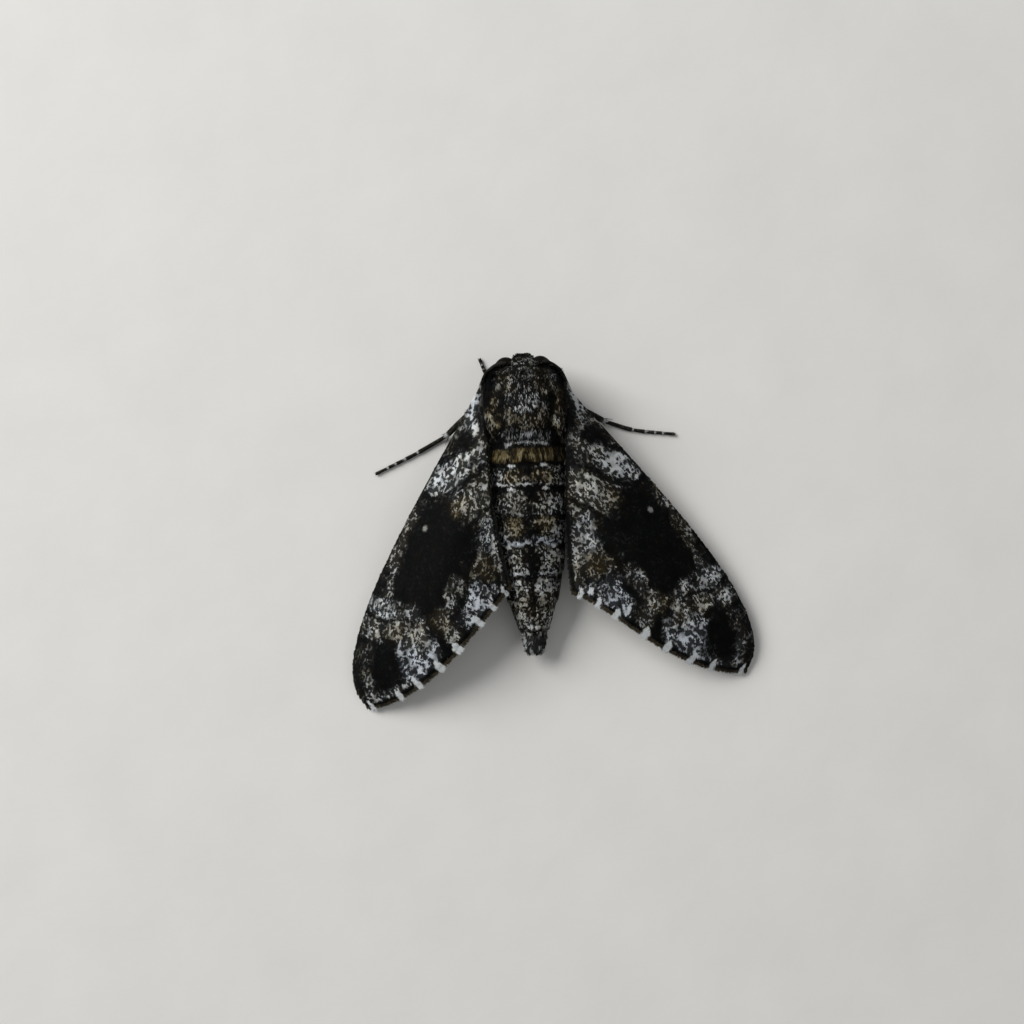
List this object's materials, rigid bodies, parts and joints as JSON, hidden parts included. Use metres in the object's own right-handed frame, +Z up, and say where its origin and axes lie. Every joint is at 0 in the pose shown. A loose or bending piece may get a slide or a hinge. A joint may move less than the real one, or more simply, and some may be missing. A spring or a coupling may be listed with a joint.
{
  "type": "hawk moth",
  "caption": "Life-size hawk moth at rest on the floor, forewings folded back like a roof over the banded abdomen, dark mottled scales.",
  "frame": {"origin": "middle of the footprint's bounding box, on the floor that the feet stand on", "axes": "+Y to the head, +X to the moth's own right, +Z up"},
  "size_m": [0.0718, 0.062, 0.0149],
  "materials": {
    "dark_scales": "black-brown scales and hair, matt",
    "grey_scales": "grey scales flecked with black and white, matt",
    "ochre_scales": "ochre and black scales, matt",
    "wing_scales": "black, grey, white and ochre mottled scales, matt",
    "hindwing_scales": "grey-brown scales with darker bands, matt",
    "eye": "dark brown, smooth and glossy",
    "horn": "pale grey-brown, finely ringed",
    "leg_scales": "black-brown scales with white rings at the joints"
  },
  "bodies": {
    "root": {"head": "dark_scales", "eye_left": "eye", "eye_right": "eye", "palp_left": "grey_scales", "palp_right": "grey_scales", "antenna_left": "horn", "antenna_right": "horn", "tegula_left": "dark_scales", "tegula_right": "dark_scales", "proboscis": "horn", "collar": "grey_scales", "thorax": "dark_scales", "metathorax": "ochre_scales", "abdomen_1": "ochre_scales", "abdomen_2": "dark_scales", "abdomen_3": "grey_scales", "abdomen_4": "dark_scales", "abdomen_5": "grey_scales", "abdomen_6": "dark_scales", "abdomen_7": "grey_scales", "tail_tuft": "dark_scales", "forewing_left": "wing_scales", "forewing_right": "wing_scales", "hindwing_left": "hindwing_scales", "hindwing_right": "hindwing_scales", "foreleg_femur_left": "leg_scales", "foreleg_tibia_left": "leg_scales", "foreleg_tarsus_left": "leg_scales", "foreleg_femur_right": "leg_scales", "foreleg_tibia_right": "leg_scales", "foreleg_tarsus_right": "leg_scales", "midleg_femur_left": "leg_scales", "midleg_tibia_left": "leg_scales", "midleg_tarsus_left": "leg_scales", "midleg_femur_right": "leg_scales", "midleg_tibia_right": "leg_scales", "midleg_tarsus_right": "leg_scales", "hindleg_femur_left": "leg_scales", "hindleg_tibia_left": "leg_scales", "hindleg_tarsus_left": "leg_scales", "hindleg_femur_right": "leg_scales", "hindleg_tibia_right": "leg_scales", "hindleg_tarsus_right": "leg_scales"}
  },
  "joints": []
}
